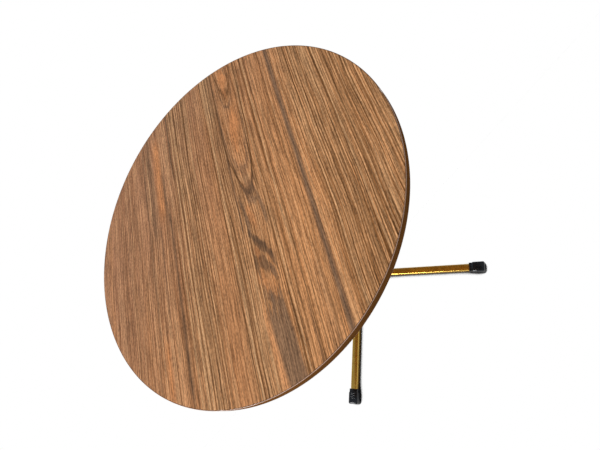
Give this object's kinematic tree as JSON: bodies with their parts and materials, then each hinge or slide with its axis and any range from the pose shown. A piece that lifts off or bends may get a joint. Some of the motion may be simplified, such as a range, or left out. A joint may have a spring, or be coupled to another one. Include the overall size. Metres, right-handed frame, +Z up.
{
  "type": "round side table",
  "caption": "Round side table: wood-grain laminate disc with a dark edge band, on a brass-plated column and a flat cross base of square tube with black foot caps.",
  "frame": {"origin": "on the floor under the column's axis, at the centre of the table's footprint", "axes": "+Z up along the column; +X and +Y along arms of the cross base"},
  "size_m": [0.6, 0.6, 0.5],
  "materials": {
    "wood_grain_laminate": "satin decorative laminate, straight brown and grey-brown grain",
    "backing_laminate": "satin light brown laminate with plainer grain",
    "chipboard": "raw pressed chips, dull",
    "edge_band": "dark brown plastic edging, semi-gloss",
    "brass_plating": "satin brass plating on steel tube, brushed across",
    "zinc_steel": "zinc plated, satin",
    "black_rubber": "glossy moulded black",
    "black_plastic": "fine matt moulded"
  },
  "bodies": {
    "root": {"top_laminate": "wood_grain_laminate", "core_board": "chipboard", "bottom_backing": "backing_laminate", "edge_band": "edge_band", "top_hub_sleeve": "brass_plating", "top_hub_plate": "brass_plating", "top_arm_right": "brass_plating", "top_arm_back": "brass_plating", "top_arm_left": "brass_plating", "top_arm_front": "brass_plating", "arm_plug_right": "black_plastic", "arm_plug_back": "black_plastic", "arm_plug_left": "black_plastic", "arm_plug_front": "black_plastic", "wood_screw_inner_right": "zinc_steel", "wood_screw_inner_back": "zinc_steel", "wood_screw_inner_left": "zinc_steel", "wood_screw_inner_front": "zinc_steel", "wood_screw_outer_right": "zinc_steel", "wood_screw_outer_back": "zinc_steel", "wood_screw_outer_left": "zinc_steel", "wood_screw_outer_front": "zinc_steel", "column_tube": "brass_plating", "lower_column_locator": "zinc_steel", "upper_column_locator": "zinc_steel", "tie_rod": "zinc_steel", "lower_washer": "zinc_steel", "upper_washer": "zinc_steel", "lower_nut": "zinc_steel", "upper_nut": "zinc_steel", "base_hub_sleeve": "brass_plating", "base_hub_plate": "brass_plating", "base_arm_right": "brass_plating", "base_arm_back": "brass_plating", "base_arm_left": "brass_plating", "base_arm_front": "brass_plating", "foot_cap_right": "black_rubber", "foot_cap_back": "black_rubber", "foot_cap_left": "black_rubber", "foot_cap_front": "black_rubber"}
  },
  "joints": []
}
